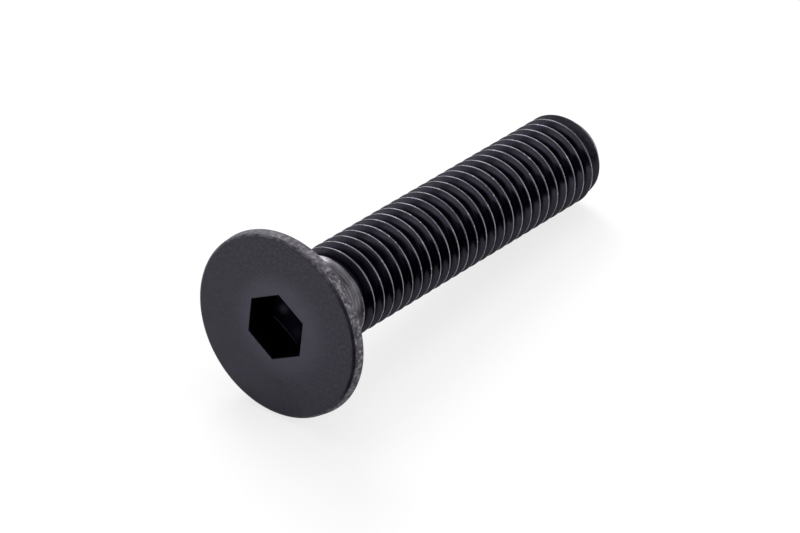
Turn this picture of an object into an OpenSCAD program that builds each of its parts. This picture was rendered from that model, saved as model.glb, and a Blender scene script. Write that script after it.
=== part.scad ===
// Countersunk socket screw, metric, fully threaded, with a hexagon socket.
// Millimetres. The head's flat face lies on z = 0 and the shank points up +Z.
// One corner of the hexagon points along +X.

/* [Length] */
// Overall length, from the head's face to the tip of the thread
length = 39.6; // [24:0.2:80]

/* [Head] */
// Diameter of the head at its widest circle
head_d = 15.85; // [14:0.05:18]
// Height of the rim, from the face to where the cone starts
rim_h = 1; // [0.5:0.05:1.5]
// Radius of the rounding between the face and the rim
edge_r = 0.35; // [0.1:0.05:0.45]
// Included angle of the cone that seats in the countersink
cone_angle = 90; // [80:1:100]

/* [Socket] */
// Width of the hexagon socket across its flats
socket_af = 5.1; // [4:0.05:6]
// Depth of the hexagon's corners, down to the pointed floor
socket_depth = 3.1; // [2:0.05:3.6]
// Included angle of the cone that the punch leaves as the floor
floor_angle = 150; // [110:1:170]

/* [Neck] */
// Diameter of the plain neck, which is the blank before the thread is rolled
neck_d = 7.2; // [6.8:0.05:7.6]
// Length of the plain neck, from the end of the cone to the first groove
neck_len = 0.85; // [0.5:0.05:4]
// Radius of the fillet where the cone meets the neck
fillet_r = 0.8; // [0.4:0.05:1.5]

/* [Thread] */
// Diameter over the crests
thread_d = 7.9; // [7.7:0.02:8.2]
// Distance from one crest to the next
pitch = 1.25; // [1:0.05:1.5]
// Angle between the two flanks of a groove
flank_angle = 60; // [55:1:65]
// Width of the flat along a crest
crest_w = 0.16; // [0.1:0.01:0.25]
// Width of the flat along the bottom of a groove
root_w = 0.26; // [0.15:0.01:0.3]
// Distance that the thread starts before the end of the neck, out of which it rises
overlap = 0.7; // [0:0.05:0.9]
// Turns over which the thread rises to its full form
run_out = 0.3; // [0.2:0.1:2]
// Direction in which the thread starts, from the corner of the hexagon on +X
start_angle = -37; // [-180:1:180]

/* [Tip] */
// Diameter of the flat end
tip_d = 6.45; // [5.6:0.05:7]
// Height of the chamfer round the end
tip_h = 1; // [0.5:0.05:1.6]

/* [Hidden] */

$fn = 96;
// Straight facets in one turn of the thread
facets = 36;
// Overlap that carries a cut or a joint clear of the surface it starts from
eps = 0.5;
// Depth below the grooves at which the thread's hidden first turn runs
core_gap = 0.1;

head_r = head_d / 2;
neck_r = neck_d / 2;
thread_r = thread_d / 2;
tip_r = tip_d / 2;

// Cone: from the rim to the neck
cone_h = (head_r - neck_r) / tan(cone_angle / 2);
neck_z = rim_h + cone_h;
fillet_t = fillet_r * tan(cone_angle / 4);

// Thread profile over one pitch, as [distance along the axis, share of the full height]
flank_w = (pitch - crest_w - root_w) / 2;
thread_h = flank_w / tan(flank_angle / 2);
root_r = thread_r - thread_h;
PROFILE = [
    [0, 0],
    [root_w, 0],
    [root_w + flank_w, 1],
    [root_w + flank_w + crest_w, 1],
];
corners = len(PROFILE);

// The helix has one hidden turn inside the neck, and runs past the tip, where it is cut off
neck_end = neck_z + neck_len;
core_r = root_r - core_gap;
first_z = neck_end - overlap - pitch;
turns = ceil((length + eps - first_z) / pitch);
last = turns * facets;

// Share of its full form that the thread has, a number of turns above its start
function grown(turn) = min(1, max(0, turn / run_out));

// Radius of one corner of the profile. Below the start it lies inside the neck.
function corner_r(turn, share) = core_r + (core_gap + share * thread_h) * grown(turn);

// Point number i along the helix, on one corner of the profile
function helix_point(i, corner) =
    let (turn = i / facets - 1)
    let (r = corner_r(turn, corner[1]))
    let (a = start_angle + 360 * turn)
    [r * cos(a), r * sin(a), first_z + pitch * i / facets + corner[0]];

// Index of a corner: the one after a profile's last is the first of the turn above
function at(i, c) = c < corners ? i * corners + c : (i + facets) * corners;

module head_section() {
    square([head_r - edge_r, rim_h]);
    translate([head_r - edge_r, edge_r])
        circle(edge_r);
    polygon([[0, edge_r], [head_r, edge_r], [head_r, rim_h], [neck_r, neck_z], [0, neck_z]]);
}

module neck_section() {
    // The neck's end slopes in to the bottom of the first groove, and on into the core
    inner_r = core_r - eps;
    polygon([
        [0, rim_h],
        [neck_r, neck_z - eps],
        [neck_r, neck_end],
        [inner_r, neck_end + neck_r - inner_r],
        [0, neck_end + neck_r - inner_r],
    ]);
    difference() {
        polygon([
            [0, rim_h],
            [neck_r + fillet_t * sin(cone_angle / 2), neck_z - fillet_t * cos(cone_angle / 2)],
            [neck_r, neck_z + fillet_t],
            [0, neck_z + fillet_t],
        ]);
        translate([neck_r + fillet_r, neck_z + fillet_t])
            circle(fillet_r);
    }
}

// The punch: a hexagonal bar with a conical point
module hex_socket() {
    hex_r = socket_af / 2 / cos(30);
    point_h = hex_r / tan(floor_angle / 2);
    translate([0, 0, -eps])
        cylinder(h = socket_depth + eps, r = hex_r, $fn = 6);
    intersection() {
        cylinder(h = socket_depth + point_h, r = hex_r, $fn = 6);
        translate([0, 0, socket_depth])
            cylinder(h = point_h, r1 = hex_r, r2 = 0);
    }
}

// The threaded length as one closed helical skin, with its ends closed to a point on the axis
module rolled_thread() {
    skin = [for (i = [0:last + facets]) for (corner = PROFILE) helix_point(i, corner)];
    bottom = len(skin);
    top = bottom + 1;
    ends = [[0, 0, first_z], [0, 0, first_z + pitch * (turns + 1)]];
    sides = [
        for (i = [0:last - 1]) for (c = [0:corners - 1])
        each [
            [at(i, c), at(i, c + 1), at(i + 1, c + 1)],
            [at(i, c), at(i + 1, c + 1), at(i + 1, c)],
        ]
    ];
    caps = [
        for (i = [0:facets - 1])
        each [
            [bottom, at(i, 0), at(i + 1, 0)],
            [top, at(last + i + 1, 0), at(last + i, 0)],
        ]
    ];
    seams = [
        for (c = [0:corners - 1])
        each [
            [bottom, at(0, c + 1), at(0, c)],
            [top, at(last, c), at(last, c + 1)],
        ]
    ];
    polyhedron(points = concat(skin, ends), faces = concat(sides, caps, seams));
}

module tip_form() {
    outer_r = thread_r + eps;
    slope = (thread_r - tip_r) / tip_h;
    rotate_extrude()
        polygon([
            [0, 0],
            [outer_r, 0],
            [outer_r, length - tip_h - eps / slope],
            [tip_r, length],
            [0, length],
        ]);
}

module screw() {
    color([0.13, 0.13, 0.14])
        difference() {
            union() {
                rotate_extrude() {
                    head_section();
                    neck_section();
                }
                intersection() {
                    rolled_thread();
                    tip_form();
                }
            }
            hex_socket();
        }
}

screw();
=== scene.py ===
"""A black countersunk socket screw, M8 x 40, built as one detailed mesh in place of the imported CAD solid.

Lengths named *_MM are millimetres; the scene itself is in metres. The frame is the CAD part's own:
the head's flat face lies on z = 0, the shank points up +Z, and a corner of the hexagon points along +X.
"""

import math

import bmesh
import bpy
from mathutils import Matrix, Vector, noise


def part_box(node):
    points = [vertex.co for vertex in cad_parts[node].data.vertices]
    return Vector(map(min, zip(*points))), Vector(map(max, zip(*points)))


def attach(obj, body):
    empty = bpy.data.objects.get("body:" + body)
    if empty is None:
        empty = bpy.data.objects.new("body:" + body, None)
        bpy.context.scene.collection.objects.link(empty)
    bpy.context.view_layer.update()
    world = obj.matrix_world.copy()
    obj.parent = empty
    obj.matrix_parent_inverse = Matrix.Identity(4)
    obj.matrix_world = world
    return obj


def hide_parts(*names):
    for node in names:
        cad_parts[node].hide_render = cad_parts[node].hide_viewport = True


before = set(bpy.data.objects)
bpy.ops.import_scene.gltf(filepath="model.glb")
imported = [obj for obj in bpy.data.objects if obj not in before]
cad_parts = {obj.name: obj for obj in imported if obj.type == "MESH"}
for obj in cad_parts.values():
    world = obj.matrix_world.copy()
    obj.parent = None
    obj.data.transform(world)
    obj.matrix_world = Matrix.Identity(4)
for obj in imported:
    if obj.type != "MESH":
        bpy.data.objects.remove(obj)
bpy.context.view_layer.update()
_, screw_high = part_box("screw")

MM = 0.001

# ---------------------------------------------------------------- sizes of the screw

LENGTH_MM = screw_high.z / MM
HEAD_R_MM = screw_high.x / MM

# Head
FACE_EDGE_MM = 0.33  # rounding between the face and the rim
EDGE_LOOK_MM = 0.62 * FACE_EDGE_MM  # height at which the edge's look, with its painted reflection, gives way to the rim's
FACE_LOOK_MM = 0.02  # height up to which the edge has the finish of the face
RIM_TOP_MM = 1.0  # where the rim ends and the cone starts
RIM_ROUND_MM = 0.18  # rounding between the rim and the cone
RIM_WORN_MM = 0.12  # how far the dull finish of the rim reaches over its edge
RIM_LEAN_MM = 0.05  # how much narrower the rim is at the face than at the cone
CONE_ANGLE = math.radians(45)  # half the angle of the countersunk cone
FILLET_R_MM = 0.8

# Unevenness of the rim
RIM_SWELL_MM = 0.12  # how much fuller the rim is in the middle of one quarter
SWELL_START_MM = 0.1  # height at which the swell starts
SWELL_RISE_MM = 0.8  # height over which it grows
SWELL_FADE_MM = 3.0  # height over which it fades out along the cone
SWELL_CLEAR_MM = 1.0  # how far outside the socket's corners it stays
SWELL_POWER = 0.75  # below 1, the swell is full over more of its quarter
RIM_DENT_MM = 0.02  # depth of the deepest dents
DENT_REACH_MM = 1.2  # how far in from the widest circle the dents start
DENT_RISE_MM = 1.1  # distance over which they grow
DENT_FADE_MM = 0.6  # height over which they fade out above the rim
WAVES_PER_MM = 0.6
WAVES_SHARE = 0.7
GRAINS_PER_MM = 2.3

# Socket
SOCKET_FLATS_MM = 5.1
SOCKET_DEPTH_MM = 3.1  # at the hexagon's corners
SOCKET_BEVEL_MM = 0.07
SOCKET_CORNER_MM = SOCKET_FLATS_MM / 2 / math.cos(math.radians(30))
FLOOR_HALF_ANGLE = math.radians(75)
FLOOR_SHARE = 0.975  # share of the way to the wall over which the floor's finish reaches
FOOT_SIDE = math.radians(150)  # the side whose wall has a painted highlight line at its foot
FOOT_HALF_ANGLE = math.radians(30)
FOOT_SHARE = 0.965  # share of the wall's depth at which that line starts

# Neck and thread
NECK_R_MM = 3.65
THREAD_R_MM = 3.95
PITCH_MM = 1.25
FLANK_TAN = math.tan(math.radians(30))
CREST_FLAT_MM = 0.16
ROOT_FLAT_MM = 0.26
CREST_ROUND_MM = 0.12
CREST_WORN_MM = 0.1  # width of the worn line along the crest
LIP_MM = 0.17  # how far the ridge has risen where its crest starts to be worn
CREST_HEIGHT_MM = 7.61  # where the first full crest crosses the +X side
THREAD_START_MM = 5.75  # height at which the ridge starts to rise from the neck
RUN_OUT_MM = 1.2
BLANK_R_MM = 3.7  # the shank just before the first ridge
BLANK_RISE_MM = 0.4
BLANK_FADE_TURNS = 0.2  # the shank is back at the neck's radius over these turns, opposite the +X side
THREAD_FADE_ANGLE = math.radians(110)  # the neck's look, worn and with painted highlight streaks, gives way to the first groove over this angle

# Tip
TIP_R_MM = 3.23
TIP_CHAMFER_MM = 1.0
TIP_SLOPE = (THREAD_R_MM - TIP_R_MM) / TIP_CHAMFER_MM
TIP_OVAL_MM = 0.1  # how far the chamfered end is out of round
TIP_OVAL_ANGLE = math.radians(-9)
TIP_BULGE_MM = 0.06
TIP_SCUFFED_MM = 0.6  # how far the dull finish of the end reaches down the thread
CUT_MM = 0.008  # what lies deeper than this under the chamfer's cone isn't cut by it

# Mesh
COLUMNS = 144
MERGE_MM = 0.0005
TOUCH_MM = 0.001  # heights this near the face or the end lie on it
SHARP_ANGLE = math.radians(40)


# ---------------------------------------------------------------- outline helpers


def arc(centre, radius, start, end, steps):
    """Points on an arc in the (radius, height) plane, angles in degrees from the outward direction."""
    points = []
    for i in range(steps + 1):
        a = math.radians(start + (end - start) * i / steps)
        points.append((centre[0] + radius * math.cos(a), centre[1] + radius * math.sin(a)))
    return points


def line(start, end, steps):
    """Points along a straight line, both ends included."""
    return [
        (start[0] + (end[0] - start[0]) * i / steps, start[1] + (end[1] - start[1]) * i / steps)
        for i in range(steps + 1)
    ]


def smooth(t):
    """Rises from 0 to 1 as t does, and starts and ends level."""
    t = min(1.0, max(0.0, t))
    return t * t * (3 - 2 * t)


# ---------------------------------------------------------------- head, socket and neck


def hexagon_radius(angle):
    """Distance from the axis to the hexagon's wall."""
    sector = math.radians(60)
    return SOCKET_FLATS_MM / 2 / math.cos(angle % sector - sector / 2)


def floor_point(radius):
    """Point of the socket's conical floor, as (radius, height)."""
    return radius, SOCKET_DEPTH_MM + (SOCKET_CORNER_MM - radius) / math.tan(FLOOR_HALF_ANGLE)


def socket_rings():
    """Rings from the socket's floor to its mouth, as functions of the angle giving (radius, height)."""
    rings = []
    for share in (0, 0.25, 0.5, 0.75, 0.98, 1):
        rings.append(lambda a, s=share: floor_point(hexagon_radius(a) * s))
    for share in (FOOT_SHARE, 0.66, 0.33, 0.05):
        rings.append(lambda a, s=share: (hexagon_radius(a), floor_point(hexagon_radius(a))[1] * s))
    for turn in (0, 30, 60, 90):
        t = math.radians(turn)
        rings.append(
            lambda a, t=t: (
                hexagon_radius(a) + SOCKET_BEVEL_MM * (1 - math.cos(t)),
                SOCKET_BEVEL_MM * (1 - math.sin(t)),
            )
        )
    return rings


def face_rings():
    """Rings across the flat face, from the hexagon to the rounded edge."""
    mouth = SOCKET_BEVEL_MM
    face_r = HEAD_R_MM - RIM_LEAN_MM - FACE_EDGE_MM
    rings = []
    for share in (0.01, 0.2, 0.4, 0.6, 0.8, 0.95, 0.997):
        rings.append(lambda a, s=share: ((hexagon_radius(a) + mouth) * (1 - s) + face_r * s, 0.0))
    return rings


def head_outline():
    """Points from the edge of the face over the rim and along the cone to the neck."""
    neck_z = RIM_TOP_MM + (HEAD_R_MM - NECK_R_MM) / math.tan(CONE_ANGLE)
    tangent = FILLET_R_MM * math.tan(CONE_ANGLE / 2)
    fillet_z = neck_z + tangent
    edge_centre = (HEAD_R_MM - RIM_LEAN_MM - FACE_EDGE_MM, FACE_EDGE_MM)
    rim_tangent = RIM_ROUND_MM * math.tan(CONE_ANGLE / 2)
    edge = arc(edge_centre, FACE_EDGE_MM, -90, 0, 8)
    bend = arc((HEAD_R_MM - RIM_ROUND_MM, RIM_TOP_MM - rim_tangent), RIM_ROUND_MM, 0, 45, 4)
    fillet = arc((NECK_R_MM + FILLET_R_MM, fillet_z), FILLET_R_MM, 225, 180, 8)
    rim = line(edge[-1], bend[0], 6)[1:-1]
    cone = line(bend[-1], fillet[0], 12)[1:-1]
    neck = line(fillet[-1], (NECK_R_MM, THREAD_START_MM), 3)[1:]
    return edge + rim + bend + cone + fillet + neck


# ---------------------------------------------------------------- thread and tip


def thread_profile():
    """Points over one pitch, as (distance along the axis, depth below the crest), from mid-groove on."""
    flank = (PITCH_MM - CREST_FLAT_MM - ROOT_FLAT_MM) / 2
    depth = flank / FLANK_TAN
    root_round = ROOT_FLAT_MM / 2 / FLANK_TAN
    rise = []
    for turn in (0, 20, 40, 60):
        t = math.radians(turn)
        rise.append((root_round * math.sin(t), depth - root_round * (1 - math.cos(t))))
    crest_x = PITCH_MM / 2 - CREST_FLAT_MM / 2 + CREST_ROUND_MM * FLANK_TAN
    crest = []
    for turn in (60, 40, 20, 0):
        t = math.radians(turn)
        crest.append((crest_x - CREST_ROUND_MM * math.sin(t), CREST_ROUND_MM * (1 - math.cos(t))))
    half = rise + line(rise[-1], crest[0], 3)[1:-1] + crest
    mirrored = [(PITCH_MM - x, d) for x, d in reversed(half[1:])]
    return half + mirrored


def out_of_round(angle):
    """How far the chamfered end stands out from its mean radius, in millimetres."""
    return TIP_OVAL_MM * math.cos(2 * (angle - TIP_OVAL_ANGLE))


def thread_radius(z_mm, depth, angle):
    """Radius of the thread's surface, with the run-out at the neck and the chamfer at the tip."""
    risen = smooth((z_mm - THREAD_START_MM) / RUN_OUT_MM)
    formed = NECK_R_MM + (THREAD_R_MM - depth - NECK_R_MM) * risen
    turn = math.remainder(angle, 2 * math.pi) / (2 * math.pi)
    if z_mm < CREST_HEIGHT_MM + PITCH_MM * (turn - 1):
        reached = smooth((z_mm - THREAD_START_MM) / BLANK_RISE_MM)
        blank = NECK_R_MM + (BLANK_R_MM - NECK_R_MM) * reached
        formed += max(0.0, blank - formed) * smooth((0.5 - abs(turn)) / BLANK_FADE_TURNS)
    to_end = LENGTH_MM - z_mm
    end_r = TIP_R_MM + out_of_round(angle)
    bulge = TIP_BULGE_MM * math.sin(math.pi * min(1.0, to_end / TIP_CHAMFER_MM))
    chamfer = end_r + TIP_SLOPE * to_end + bulge
    # A groove that runs into the end rises to its edge at 45 degrees
    return min(max(formed, end_r - to_end), chamfer)


def thread_columns():
    """For each angle, points (radius, height) from the neck to the tip. Rows follow the helix, so the
    last column meets the first one pitch further up, and rows past either end are gathered on it."""
    profile = thread_profile()
    below = math.ceil((CREST_HEIGHT_MM - THREAD_START_MM) / PITCH_MM) + 1
    first = CREST_HEIGHT_MM - PITCH_MM / 2 - below * PITCH_MM
    turns = math.ceil((LENGTH_MM - first) / PITCH_MM) + 1
    columns = []
    for i in range(COLUMNS + 1):
        column = []
        for turn in range(turns):
            for lift, depth in profile:
                z = first + PITCH_MM * (turn + i / COLUMNS) + lift
                z = min(LENGTH_MM, max(THREAD_START_MM, z))
                column.append((thread_radius(z, depth, 2 * math.pi * i / COLUMNS), z))
        columns.append(column)
    return columns


def tip_rings():
    """Rings across the flat end, from its edge to the axis."""
    return [
        lambda a, s=share: (thread_radius(LENGTH_MM, 0, a) * s, LENGTH_MM)
        for share in (1, 0.985, 0.7, 0.35, 0)
    ]


# ---------------------------------------------------------------- the mesh


def point(radius, angle, z):
    return Vector((radius * math.cos(angle), radius * math.sin(angle), z)) * MM


def add_grid(mesh, columns):
    """A sheet of faces over columns of points. What closes up or meets is merged afterwards."""
    grid = [[mesh.verts.new(p) for p in column] for column in columns]
    for left, right in zip(grid, grid[1:]):
        for k in range(len(left) - 1):
            mesh.faces.new((left[k], right[k], right[k + 1], left[k + 1]))


def ring_sheet(rings, angles):
    """Columns of points across rings that each give (radius, height) for an angle."""
    columns = []
    for angle in angles:
        outline = [ring(angle) for ring in rings]
        columns.append([point(radius, angle, height) for radius, height in outline])
    return columns


# Materials of the screw, in the order of LOOKS
FACE, EDGE, RIM, SOCKET, NECK, THREAD, TIP, CREST, FLOOR, FOOT_GLINT, CHAMFER = range(11)


def socket_region(radius, angle, height):
    """Material of a place inside the socket's mouth."""
    if height < TOUCH_MM:
        return FACE
    if radius / hexagon_radius(angle) < FLOOR_SHARE:
        return FLOOR
    # One wall's foot is lighter: painted highlight
    glinting = abs(math.remainder(angle - FOOT_SIDE, 2 * math.pi)) < FOOT_HALF_ANGLE
    return FOOT_GLINT if glinting and height > FOOT_SHARE * floor_point(radius)[1] else SOCKET


def region(centre):
    """Number of the material that a face at this place takes."""
    radius = math.hypot(centre.x, centre.y) / MM
    angle = math.atan2(centre.y, centre.x)
    height = centre.z / MM
    cut_r = TIP_R_MM + out_of_round(angle) + TIP_SLOPE * (LENGTH_MM - height)
    if height < LENGTH_MM - TOUCH_MM and radius > cut_r - CUT_MM:
        return CHAMFER
    turns = (height - CREST_HEIGHT_MM) / PITCH_MM - angle / (2 * math.pi)
    off_crest = abs(turns - round(turns)) * PITCH_MM
    if height > THREAD_START_MM and off_crest < CREST_WORN_MM / 2 and radius > NECK_R_MM + LIP_MM:
        return CREST if height < LENGTH_MM - TIP_CHAMFER_MM else TIP
    if height > LENGTH_MM - TIP_CHAMFER_MM - TIP_SCUFFED_MM:
        return TIP
    if radius < SOCKET_CORNER_MM + SOCKET_BEVEL_MM and height < 2 * SOCKET_DEPTH_MM:
        return socket_region(radius, angle, height)
    neck_look_turns = 1 - smooth((angle + math.pi) / THREAD_FADE_ANGLE)
    if height > THREAD_START_MM and turns > neck_look_turns - 1:
        return THREAD
    if height > RIM_TOP_MM + RIM_WORN_MM:
        return NECK
    if height < FACE_LOOK_MM:
        return FACE
    return EDGE if height < EDGE_LOOK_MM else RIM


def swell_rim(mesh):
    """The rim is a little fuller on one quarter, as it came off the forging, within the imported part's box."""
    for vert in mesh.verts:
        radius = math.hypot(vert.co.x, vert.co.y)
        height = vert.co.z / MM
        angle = math.atan2(vert.co.y, vert.co.x)
        risen = smooth((height - SWELL_START_MM) / SWELL_RISE_MM)
        share = risen * (1 - smooth((height - RIM_TOP_MM) / SWELL_FADE_MM))
        inside = radius < (SOCKET_CORNER_MM + SWELL_CLEAR_MM) * MM
        if inside or share <= 0 or not 0 < angle < math.pi / 2:
            continue
        swell = RIM_SWELL_MM * MM * math.sin(2 * angle) ** SWELL_POWER
        vert.co.x = min(vert.co.x * (1 + share * swell / radius), screw_high.x)
        vert.co.y = min(vert.co.y * (1 + share * swell / radius), screw_high.y)


def roughen_rim(mesh):
    """The rim is slightly uneven."""
    for vert in mesh.verts:
        radius = math.hypot(vert.co.x, vert.co.y) / MM
        height = vert.co.z / MM
        outward = smooth((radius - (HEAD_R_MM - DENT_REACH_MM)) / DENT_RISE_MM)
        share = outward * (1 - smooth((height - RIM_TOP_MM) / DENT_FADE_MM))
        if share <= 0 or height <= TOUCH_MM:
            continue
        waves = noise.noise(vert.co / MM * WAVES_PER_MM) * 0.5 + 0.5
        grain = noise.noise(vert.co / MM * GRAINS_PER_MM) * 0.5 + 0.5
        dent = RIM_DENT_MM * share * (WAVES_SHARE * waves + (1 - WAVES_SHARE) * grain)
        vert.co.x *= 1 - dent / radius
        vert.co.y *= 1 - dent / radius


def build_screw():
    angles = [2 * math.pi * i / COLUMNS for i in range(COLUMNS + 1)]
    outline = [lambda a, p=p: p for p in head_outline()]
    thread = [[point(r, a, z) for r, z in column] for a, column in zip(angles, thread_columns())]
    mesh = bmesh.new()
    add_grid(mesh, ring_sheet(socket_rings() + face_rings() + outline, angles))
    add_grid(mesh, thread)
    add_grid(mesh, ring_sheet(tip_rings(), angles))
    bmesh.ops.remove_doubles(mesh, verts=mesh.verts, dist=MERGE_MM * MM)
    bmesh.ops.recalc_face_normals(mesh, faces=mesh.faces)
    for face in mesh.faces:
        face.material_index = region(face.calc_center_median())
    swell_rim(mesh)
    roughen_rim(mesh)
    data = bpy.data.meshes.new("screw_body")
    mesh.to_mesh(data)
    mesh.free()
    data.shade_smooth()
    data.set_sharp_from_angle(angle=SHARP_ANGLE)
    screw = bpy.data.objects.new("screw_body", data)
    bpy.context.scene.collection.objects.link(screw)
    return screw


# ---------------------------------------------------------------- materials

CLOUD_OFFSET = 0.011  # shift of the clouds' noise along the direction below, in metres
CLOUD_DETAIL = 3
GRAIN_OFFSET = 0.023
GRAIN_DETAIL = 2
OFFSET_DIRECTION = Vector((1.0, 0.7, 1.3))
NOISE_ROUGHNESS = 0.6
PATCHES = (0.35, 0.65)  # levels of the clouds between which the dark coat turns to the light one
GLOSS = (0.3, 0.7)  # levels of the clouds between which the roughness changes
ROOT_SHADE_SPECULAR = 0.15  # share of its specular level that a look keeps in the painted shade of the thread's roots
BUMP_MM = 0.02


def new_material(name):
    material = bpy.data.materials.new(name)
    material.use_nodes = True
    material.node_tree.nodes.clear()
    return material, material.node_tree.nodes, material.node_tree.links


def noise_node(nodes, links, coordinates, size_mm, detail, offset):
    """Noise with features of about the given size."""
    shift = nodes.new("ShaderNodeVectorMath")
    shift.operation = "ADD"
    links.new(coordinates, shift.inputs[0])
    shift.inputs[1].default_value = OFFSET_DIRECTION * offset
    node = nodes.new("ShaderNodeTexNoise")
    links.new(shift.outputs["Vector"], node.inputs["Vector"])
    node.inputs["Scale"].default_value = 1 / (size_mm * MM)
    node.inputs["Detail"].default_value = detail
    node.inputs["Roughness"].default_value = NOISE_ROUGHNESS
    return node.outputs["Fac"]


def map_range(nodes, links, value, from_low, from_high, to_low, to_high):
    """A value taken smoothly from one range to another."""
    node = nodes.new("ShaderNodeMapRange")
    node.interpolation_type = "SMOOTHSTEP"
    links.new(value, node.inputs["Value"])
    node.inputs["From Min"].default_value = from_low
    node.inputs["From Max"].default_value = from_high
    node.inputs["To Min"].default_value = to_low
    node.inputs["To Max"].default_value = to_high
    return node.outputs["Result"]


def math_node(nodes, links, operation, first, second):
    """Sum, product or other operation on two sockets."""
    node = nodes.new("ShaderNodeMath")
    node.operation = operation
    links.new(first, node.inputs[0])
    links.new(second, node.inputs[1])
    return node.outputs[0]


def mix_colour(nodes, links, factor, first, second):
    """Mix of two colours, each a socket or a plain colour."""
    node = nodes.new("ShaderNodeMix")
    node.data_type = "RGBA"
    links.new(factor, node.inputs["Factor"])
    for socket, colour in ((node.inputs[6], first), (node.inputs[7], second)):
        if isinstance(colour, tuple):
            socket.default_value = colour
        else:
            links.new(colour, socket)
    return node.outputs[2]


def bump_node(nodes, links, height, strength, normal):
    """Bump on top of a normal, or on the plain surface where that is None."""
    bump = nodes.new("ShaderNodeBump")
    bump.inputs["Strength"].default_value = strength
    bump.inputs["Distance"].default_value = BUMP_MM * MM
    links.new(height, bump.inputs["Height"])
    if normal:
        links.new(normal, bump.inputs["Normal"])
    return bump.outputs["Normal"]


def stretched(nodes, links, coordinates, factors):
    """Coordinates for a pattern drawn out by different factors along the axes."""
    node = nodes.new("ShaderNodeVectorMath")
    node.operation = "MULTIPLY"
    links.new(coordinates, node.inputs[0])
    node.inputs[1].default_value = factors
    return node.outputs["Vector"]


def axis_distance(nodes, links, coordinates, centre_mm=(0, 0)):
    """Distance from the screw's axis, or from a line beside it, in metres."""
    flat = nodes.new("ShaderNodeVectorMath")
    flat.operation = "MULTIPLY_ADD"
    links.new(coordinates, flat.inputs[0])
    flat.inputs[1].default_value = (1, 1, 0)
    flat.inputs[2].default_value = (-centre_mm[0] * MM, -centre_mm[1] * MM, 0)
    length = nodes.new("ShaderNodeVectorMath")
    length.operation = "LENGTH"
    links.new(flat.outputs["Vector"], length.inputs[0])
    return length.outputs["Value"]


def painted_glint_spots(nodes, links, coordinates, painted_glints):
    """Soft round spots of painted glint, each given by its place and radius in millimetres and its strength."""
    total = None
    for place_mm, radius_mm, strength in painted_glints:
        distance = nodes.new("ShaderNodeVectorMath")
        distance.operation = "DISTANCE"
        links.new(coordinates, distance.inputs[0])
        distance.inputs[1].default_value = Vector(place_mm) * MM
        spot = map_range(nodes, links, distance.outputs["Value"], 0, radius_mm * MM, strength, 0)
        total = math_node(nodes, links, "MAXIMUM", total, spot) if total else spot
    return total


def worn_and_lit_places(nodes, links, place, grain, look):
    """How far the coat is rubbed to its grey colour, from 0 to 1: by its grain, made fuller toward one side by
    painted light, or in single spots that are painted glints.
    """
    if look["painted_glints"]:
        return painted_glint_spots(nodes, links, place, look["painted_glints"])
    low, high = look["worn_and_lit_share"]
    worn_and_lit_share = map_range(nodes, links, grain, look["wear_from"], look["wear_to"], low, high)
    if not look["side"]:
        return worn_and_lit_share
    toward, near, far = look["side"]
    along = nodes.new("ShaderNodeVectorMath")
    along.operation = "DOT_PRODUCT"
    links.new(place, along.inputs[0])
    along.inputs[1].default_value = toward
    turned = map_range(nodes, links, along.outputs["Value"], near * MM, far * MM, 0, 1)
    return math_node(nodes, links, "MULTIPLY", worn_and_lit_share, turned)


def black_oxide(look):
    """Black oxide on steel: a dark coat with cloudy patches, rubbed to grey where the look says so, with
    painted light, glints and shade where the look gives them.
    """
    material, nodes, links = new_material("black_oxide_" + look["name"])
    out = nodes.new("ShaderNodeOutputMaterial")
    shader = nodes.new("ShaderNodeBsdfPrincipled")
    place = nodes.new("ShaderNodeTexCoord").outputs["Object"]
    clouds = noise_node(nodes, links, place, look["cloud_mm"], CLOUD_DETAIL, CLOUD_OFFSET)
    marks = stretched(nodes, links, place, look["stretch"]) if look["stretch"] else place
    grain = noise_node(nodes, links, marks, look["grain_mm"], GRAIN_DETAIL, GRAIN_OFFSET)
    patches = map_range(nodes, links, clouds, *PATCHES, 0, 1)
    coat = mix_colour(nodes, links, patches, look["dark"], look["light"])
    if look["halo"]:
        low, high, shade, centre = look["halo"]
        away = axis_distance(nodes, links, place, centre)
        reach = map_range(nodes, links, away, low * MM, high * MM, 1, 0)
        coat = mix_colour(nodes, links, reach, coat, shade)
    # Worn grey from the grain, with painted light toward one side or painted glints where the look gives them
    worn_and_lit_share = worn_and_lit_places(nodes, links, place, grain, look)
    colour = mix_colour(nodes, links, worn_and_lit_share, coat, look["worn_and_lit"])
    links.new(colour, shader.inputs["Base Color"])
    roughness = map_range(nodes, links, clouds, *GLOSS, *look["roughness"])
    links.new(roughness, shader.inputs["Roughness"])
    shader.inputs["Specular IOR Level"].default_value = look["specular"]
    # Specular level lowered toward the axis: painted shade in the thread's roots
    if look["root_shade"]:
        low, high = look["root_shade"]
        shine = (ROOT_SHADE_SPECULAR * look["specular"], look["specular"])
        away = axis_distance(nodes, links, place)
        reach = map_range(nodes, links, away, low * MM, high * MM, *shine)
        links.new(reach, shader.inputs["Specular IOR Level"])
    shader.inputs["Specular Tint"].default_value = look["tint"]
    waves = bump_node(nodes, links, clouds, look["waves"], None)
    links.new(bump_node(nodes, links, grain, look["bump"], waves), shader.inputs["Normal"])
    links.new(shader.outputs["BSDF"], out.inputs["Surface"])
    return material
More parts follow.
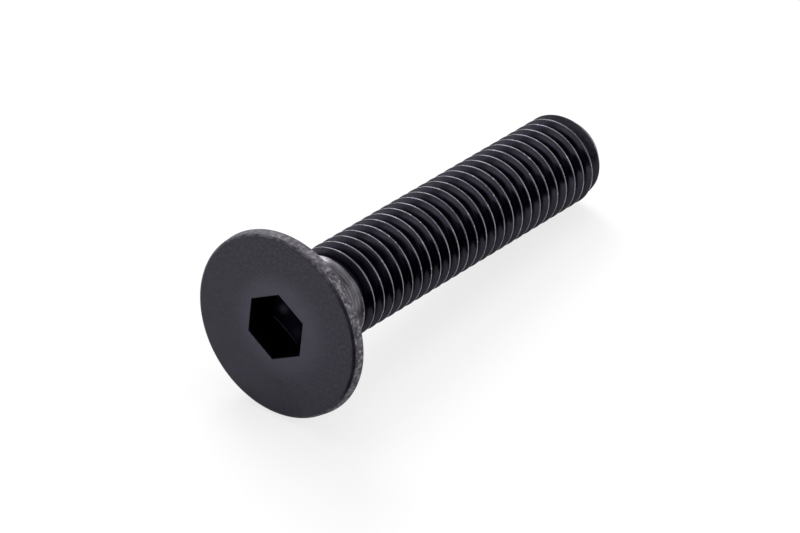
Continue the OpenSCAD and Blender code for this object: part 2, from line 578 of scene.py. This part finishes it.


# A look has a dark and a light colour of the coat in clouds, a finer grain that decides where it is worn,
# the worn colour, which also serves painted light, highlights and glints where a look gives them,
# and the ranges and strengths of the shader's values. Its distances are in millimetres.
# This is what a look has where it doesn't state its own.
PLAIN_LOOK = {
    "stretch": None,  # factors by which the grain's pattern is drawn out along the axes
    "worn_and_lit_share": (0.0, 1.0),  # how far the coat has turned to its worn and lit colour, at the two levels of the grain that follow
    "side": None,  # direction toward which painted light makes the worn grey fuller, and the distances where it starts and is full
    "halo": None,  # ring round an axis: inner and outer radius, colour, and the axis's place
    "painted_glints": None,  # painted glints that take the place of the wear: place, radius and strength
    "root_shade": None,  # radii between which the specular level rises from its low share to full: painted shade in the thread's roots
}
LOOKS = (
    {
        "name": "face",
        "dark": (0.0018, 0.0017, 0.0035, 1),
        "light": (0.0165, 0.0153, 0.0238, 1),
        "cloud_mm": 2.6,
        "grain_mm": 0.26,
        "worn_and_lit_share": (0.0, 0.9),
        "wear_from": 0.4,
        "wear_to": 0.8,
        "worn_and_lit": (0.039, 0.0375, 0.048, 1),
        # The worn grey grows toward one side, and the halo's axis is set off toward that side: painted light
        # there.
        "side": ((0.866, -0.500, 0), -12.0, 8.0),
        "halo": (2.6, 5.2, (0.0372, 0.0348, 0.052, 1), (0.6, -0.1)),
        "roughness": (0.48, 0.64),
        "specular": 0.44,
        "tint": (0.85, 0.8, 1, 1),
        "bump": 0.3,
        "waves": 0.3,
    },
    {
        "name": "edge",
        "dark": (0.002, 0.002, 0.0035, 1),
        "light": (0.012, 0.011, 0.015, 1),
        "cloud_mm": 0.8,
        "grain_mm": 0.42,
        "worn_and_lit_share": (0.2, 1.0),
        "wear_from": 0.35,
        "wear_to": 0.62,
        "worn_and_lit": (0.085, 0.081, 0.091, 1),
        # The worn grey is kept to one side and the edge stays dark on the other: painted reflection, light on
        # one side and dark on the other.
        "side": ((-0.946, -0.326, 0), -7.0, -4.8),
        "roughness": (0.45, 0.6),
        "specular": 0.25,
        "tint": (0.85, 0.8, 1, 1),
        "bump": 0.8,
        "waves": 0.8,
    },
    {
        "name": "rim",
        "dark": (0.04, 0.037, 0.045, 1),
        "light": (0.1, 0.094, 0.108, 1),
        "cloud_mm": 0.75,
        "grain_mm": 0.3,
        "worn_and_lit_share": (0.0, 0.9),
        "wear_from": 0.42,
        "wear_to": 0.76,
        "worn_and_lit": (0.3, 0.284, 0.315, 1),
        # The worn grey grows toward one side: real wear, made fuller there by painted light.
        "side": ((0.996, -0.087, 0), -4.0, 8.5),
        "roughness": (0.55, 0.7),
        "specular": 0.2,
        "tint": (0.85, 0.8, 1, 1),
        "bump": 0.4,
        "waves": 0.5,
    },
    {
        "name": "socket",
        # Nearly black, with a low specular level: painted shade inside the socket.
        "dark": (0.0003, 0.0003, 0.0005, 1),
        "light": (0.001, 0.001, 0.002, 1),
        "cloud_mm": 1.5,
        "grain_mm": 1.3,
        "wear_from": 0.56,
        "wear_to": 0.7,
        "worn_and_lit": (0.001, 0.001, 0.002, 1),
        "roughness": (0.25, 0.35),
        "specular": 0.06,
        "tint": (0.8, 0.74, 1, 1),
        "bump": 0.1,
        "waves": 0.3,
    },
    {
        "name": "neck",
        "dark": (0.004, 0.0037, 0.005, 1),
        "light": (0.012, 0.0112, 0.014, 1),
        "cloud_mm": 1.0,
        "grain_mm": 0.2,
        # The worn grey, drawn out into rings and growing toward the thread, is partly wear and partly painted
        # highlight streaks.
        "stretch": (0.13, 0.13, 1),
        "worn_and_lit_share": (0.2, 0.95),
        "wear_from": 0.45,
        "wear_to": 0.73,
        "worn_and_lit": (0.14, 0.13, 0.151, 1),
        "side": ((0, 0, 1), 3.7, 5.1),
        "roughness": (0.26, 0.34),
        "specular": 0.7,
        "tint": (0.93, 0.9, 1, 1),
        "bump": 0.1,
        "waves": 0.12,
    },
    {
        "name": "thread",
        "dark": (0.0003, 0.0001, 0.0012, 1),
        "light": (0.001, 0.0005, 0.0034, 1),
        "cloud_mm": 0.9,
        "grain_mm": 0.4,
        "worn_and_lit_share": (0.0, 0.0),
        "wear_from": 0.3,
        "wear_to": 0.75,
        "worn_and_lit": (0.2, 0.2, 0.2, 1),
        "roughness": (0.15, 0.21),
        "specular": 0.5,
        "tint": (0.8, 0.74, 1, 1),
        # Its specular level falls toward the roots: painted shade in the grooves
        "root_shade": (3.42, 3.7),
        "bump": 0.1,
        "waves": 0.4,
    },
    {
        "name": "tip",
        "dark": (0.005, 0.0043, 0.0072, 1),
        "light": (0.011, 0.0097, 0.0145, 1),
        "cloud_mm": 1.2,
        "grain_mm": 0.3,
        "worn_and_lit_share": (0.0, 0.4),
        "wear_from": 0.45,
        "wear_to": 0.75,
        "worn_and_lit": (0.05, 0.048, 0.052, 1),
        "roughness": (0.28, 0.38),
        "specular": 0.36,
        "tint": (0.85, 0.8, 1, 1),
        "bump": 0.4,
        "waves": 0.4,
    },
    {
        "name": "crest",
        "dark": (0.08, 0.076, 0.083, 1),
        "light": (0.22, 0.21, 0.225, 1),
        "cloud_mm": 1.6,
        "grain_mm": 0.35,
        "wear_from": 0.58,
        "wear_to": 0.72,
        "worn_and_lit": (0.45, 0.43, 0.45, 1),
        "roughness": (0.25, 0.35),
        "specular": 0.5,
        "tint": (0.8, 0.74, 1, 1),
        "bump": 0.2,
        "waves": 0.3,
    },
    {
        "name": "floor",
        # Nearly black, with a low specular level: painted shade at the bottom of the socket. Its grey spots are
        # painted glints.
        "dark": (0.0005, 0.0003, 0.002, 1),
        "light": (0.003, 0.002, 0.01, 1),
        "cloud_mm": 1.5,
        "grain_mm": 0.9,
        "worn_and_lit": (0.068, 0.06, 0.085, 1),
        "painted_glints": (
            ((-1.9, -0.4, 3.5), 0.65, 0.9),
            ((-1.3, 1.75, 3.3), 0.9, 0.3),
            ((-1.8, 0.8, 3.4), 0.8, 0.06),
        ),
        "roughness": (0.25, 0.35),
        "specular": 0.03,
        "tint": (0.8, 0.74, 1, 1),
        "bump": 0.1,
        "waves": 0.3,
    },
    {
        "name": "foot",
        # A lighter line at the foot of one wall: painted highlight.
        "dark": (0.01, 0.009, 0.014, 1),
        "light": (0.035, 0.033, 0.044, 1),
        "cloud_mm": 1.0,
        "grain_mm": 0.4,
        "wear_from": 0.5,
        "wear_to": 0.7,
        "worn_and_lit": (0.07, 0.066, 0.08, 1),
        "roughness": (0.25, 0.35),
        "specular": 0.5,
        "tint": (0.8, 0.74, 1, 1),
        "bump": 0.1,
        "waves": 0.3,
    },
    {
        "name": "chamfer",
        "dark": (0.012, 0.011, 0.015, 1),
        "light": (0.03, 0.028, 0.035, 1),
        "cloud_mm": 1.2,
        "grain_mm": 0.3,
        "worn_and_lit_share": (0.45, 1.0),
        "wear_from": 0.35,
        "wear_to": 0.6,
        "worn_and_lit": (0.19, 0.182, 0.196, 1),
        # The worn grey grows toward one side: real wear, made fuller there by painted highlight.
        "side": ((0.707, -0.707, 0), 0.8, 2.6),
        "roughness": (0.28, 0.38),
        "specular": 0.3,
        "tint": (0.93, 0.9, 1, 1),
        "bump": 0.3,
        "waves": 0.4,
    },
)


# ---------------------------------------------------------------- stage, light and camera

# The screw lies on its rim and its tip, turned so that this side of it is up
UP_AZIMUTH = math.radians(-61.3)
LEAN = math.atan2(HEAD_R_MM - THREAD_R_MM, LENGTH_MM - TIP_CHAMFER_MM - RIM_TOP_MM)
UP = Vector(
    (
        math.cos(LEAN) * math.cos(UP_AZIMUTH),
        math.cos(LEAN) * math.sin(UP_AZIMUTH),
        -math.sin(LEAN),
    )
)
MIDDLE_MM = Vector((0, 0, LENGTH_MM / 2))

CAMERA_AZIMUTH = math.radians(72.907)
CAMERA_ELEVATION = math.radians(-45.114)
CAMERA_ROLL = math.radians(-59.149)
CAMERA_PLACE_MM = (246.95, -74.97, -243.72)
CAMERA_LENS_MM = 203.0

FLOOR_SIZE = 1.6
FLOOR_PAINT = 0.9
FLOOR_WHITE = 0.75  # how much of the floor shines white to the camera, the rest is lit
FLOOR_MIRRORED = 0.2  # the same in reflections
FLOOR_SHADED_NEAR = 0.06  # distance at which the floor's shadow starts to fade to white
FLOOR_SHADED_FAR = 0.16
WORLD_FILL = 0.5
# Cards: name, place, size and shade, and the way it faces if that isn't the screw's
CARDS = (
    ("card_front", (-56, 396, 36), (260, 128), 0.0),
    ("card_back", (252, -252, 182), (373, 240), 0.0),
    ("card_left", (-376, 137, 186), (110, 200), 0.5),
    ("card_mat", (2.8, 220.3, -5.4), (250, 345), 0.0, UP),
)
# Lamps: name, place, size and brightness
LAMPS = (
    ("top", (0, -60, 300), (220, 160), 2.5),
    ("back", (-76, -209, 201), (150, 140), 10.0),
    ("right", (228, 106, 163), (130, 130), 3.2),
    ("left", (-390, -60, 90), (150, 120), 0.4),
    ("front", (-235, 260, 175), (130, 100), 0.35),
)

FRONT = (Vector(CAMERA_PLACE_MM) - MIDDLE_MM).cross(UP).cross(-UP).normalized()
RIGHT = UP.cross(FRONT)


def table_place(right, front, up):
    """Place given from the screw's middle, along the table and above it, in millimetres."""
    return (MIDDLE_MM + RIGHT * right + FRONT * front + UP * up) * MM


def facing(direction, upright):
    """Rotation that points an object's +Z along a direction, with +Y near the upright one."""
    z_axis = direction.normalized()
    x_axis = upright.cross(z_axis).normalized()
    y_axis = z_axis.cross(x_axis)
    return Matrix((x_axis, y_axis, z_axis)).transposed().to_4x4()


def seen_directly(nodes, links):
    """1 for what the camera, a mirror or glass sees, 0 for light that scatters."""
    path = nodes.new("ShaderNodeLightPath")
    seen = path.outputs["Is Camera Ray"]
    for name in ("Is Glossy Ray", "Is Transmission Ray"):
        seen = math_node(nodes, links, "MAXIMUM", seen, path.outputs[name])
    return seen


def build_world():
    """White to the camera and in reflections, and a soft fill as a light."""
    world = bpy.data.worlds.new("studio")
    world.use_nodes = True
    nodes, links = world.node_tree.nodes, world.node_tree.links
    nodes.clear()
    strength = map_range(nodes, links, seen_directly(nodes, links), 0, 1, WORLD_FILL, 1)
    background = nodes.new("ShaderNodeBackground")
    background.inputs["Color"].default_value = (1, 1, 1, 1)
    links.new(strength, background.inputs["Strength"])
    out = nodes.new("ShaderNodeOutputWorld")
    links.new(background.outputs["Background"], out.inputs["Surface"])
    bpy.context.scene.world = world


def new_plane(name, width, height, matrix):
    mesh = bmesh.new()
    corners = ((-0.5, -0.5), (0.5, -0.5), (0.5, 0.5), (-0.5, 0.5))
    mesh.faces.new([mesh.verts.new((x * width, y * height, 0)) for x, y in corners])
    data = bpy.data.meshes.new(name)
    mesh.to_mesh(data)
    mesh.free()
    plane = bpy.data.objects.new(name, data)
    plane.matrix_world = matrix
    bpy.context.scene.collection.objects.link(plane)
    return plane


def floor_material():
    """White from above, with a soft shadow near the screw, and clear from below."""
    material, nodes, links = new_material("floor")
    out = nodes.new("ShaderNodeOutputMaterial")
    paint = nodes.new("ShaderNodeBsdfDiffuse")
    paint.inputs["Color"].default_value = (FLOOR_PAINT, FLOOR_PAINT, FLOOR_PAINT, 1)
    white = nodes.new("ShaderNodeEmission")
    white.inputs["Strength"].default_value = 1.0
    lit = nodes.new("ShaderNodeMixShader")
    path = nodes.new("ShaderNodeLightPath")
    mirrored = map_range(nodes, links, seen_directly(nodes, links), 0, 1, 0, FLOOR_MIRRORED)
    seen = map_range(nodes, links, path.outputs["Is Camera Ray"], 0, 1, 0, FLOOR_WHITE - FLOOR_MIRRORED)
    near_share = math_node(nodes, links, "ADD", mirrored, seen)
    place = nodes.new("ShaderNodeTexCoord").outputs["Object"]
    away = axis_distance(nodes, links, place)
    far = map_range(nodes, links, away, FLOOR_SHADED_NEAR, FLOOR_SHADED_FAR, 0, 1)
    far_share = math_node(nodes, links, "MULTIPLY", far, path.outputs["Is Camera Ray"])
    share = math_node(nodes, links, "MAXIMUM", near_share, far_share)
    links.new(share, lit.inputs[0])
    links.new(paint.outputs[0], lit.inputs[1])
    links.new(white.outputs[0], lit.inputs[2])
    clear = nodes.new("ShaderNodeBsdfTransparent")
    side = nodes.new("ShaderNodeMixShader")
    links.new(nodes.new("ShaderNodeNewGeometry").outputs["Backfacing"], side.inputs[0])
    links.new(lit.outputs[0], side.inputs[1])
    links.new(clear.outputs[0], side.inputs[2])
    links.new(side.outputs[0], out.inputs["Surface"])
    return material


def build_floor():
    """The table top, touched by the rim and by the last thread."""
    sunk = HEAD_R_MM * math.cos(LEAN) + RIM_TOP_MM * math.sin(LEAN)
    centre = MIDDLE_MM - UP * (MIDDLE_MM.dot(UP) + sunk)
    matrix = Matrix.Translation(centre * MM) @ facing(UP, FRONT)
    floor = new_plane("floor", FLOOR_SIZE, FLOOR_SIZE, matrix)
    floor.data.materials.append(floor_material())


def build_card(name, place_mm, size_mm, shade, faced=None):
    """A dark card in the studio, seen only in reflections. It faces the screw or the way given."""
    material, nodes, links = new_material(name)
    out = nodes.new("ShaderNodeOutputMaterial")
    glow = nodes.new("ShaderNodeEmission")
    glow.inputs["Strength"].default_value = shade
    links.new(glow.outputs[0], out.inputs["Surface"])
    place = table_place(*place_mm)
    turned = facing(faced, Vector((0, 0, 1))) if faced else facing(MIDDLE_MM * MM - place, UP)
    matrix = Matrix.Translation(place) @ turned
    card = new_plane(name, size_mm[0] * MM, size_mm[1] * MM, matrix)
    card.data.materials.append(material)
    card.visible_camera = False
    card.visible_diffuse = False
    card.visible_shadow = False


def build_lamp(name, place_mm, size_mm, brightness):
    """A softbox, as bright all over as the given multiple of white."""
    data = bpy.data.lights.new(name, "AREA")
    data.shape = "RECTANGLE"
    data.size = size_mm[0] * MM
    data.size_y = size_mm[1] * MM
    data.energy = brightness * math.pi * data.size * data.size_y
    lamp = bpy.data.objects.new(name, data)
    place = table_place(*place_mm)
    lamp.matrix_world = Matrix.Translation(place) @ facing(place - MIDDLE_MM * MM, FRONT)
    lamp.visible_camera = False
    bpy.context.scene.collection.objects.link(lamp)


def build_camera():
    data = bpy.data.cameras.new("camera")
    data.lens = CAMERA_LENS_MM
    data.sensor_width = 36
    data.clip_start = 0.01
    data.clip_end = 10
    camera = bpy.data.objects.new("camera", data)
    bpy.context.scene.collection.objects.link(camera)
    back = Vector(
        (
            math.sin(CAMERA_AZIMUTH) * math.cos(CAMERA_ELEVATION),
            -math.cos(CAMERA_AZIMUTH) * math.cos(CAMERA_ELEVATION),
            math.sin(CAMERA_ELEVATION),
        )
    )
    turn = back.to_track_quat("Z", "Y").to_matrix() @ Matrix.Rotation(-CAMERA_ROLL, 3, "Z")
    camera.matrix_world = Matrix.Translation(Vector(CAMERA_PLACE_MM) * MM) @ turn.to_4x4()
    bpy.context.scene.camera = camera


# ---------------------------------------------------------------- the scene

scene = bpy.context.scene
scene.view_settings.view_transform = "Standard"

screw = build_screw()
for look in LOOKS:
    screw.data.materials.append(black_oxide({**PLAIN_LOOK, **look}))
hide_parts("screw")
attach(screw, "root")

build_world()
build_floor()
for card in CARDS:
    build_card(*card)
for lamp in LAMPS:
    build_lamp(*lamp)
build_camera()
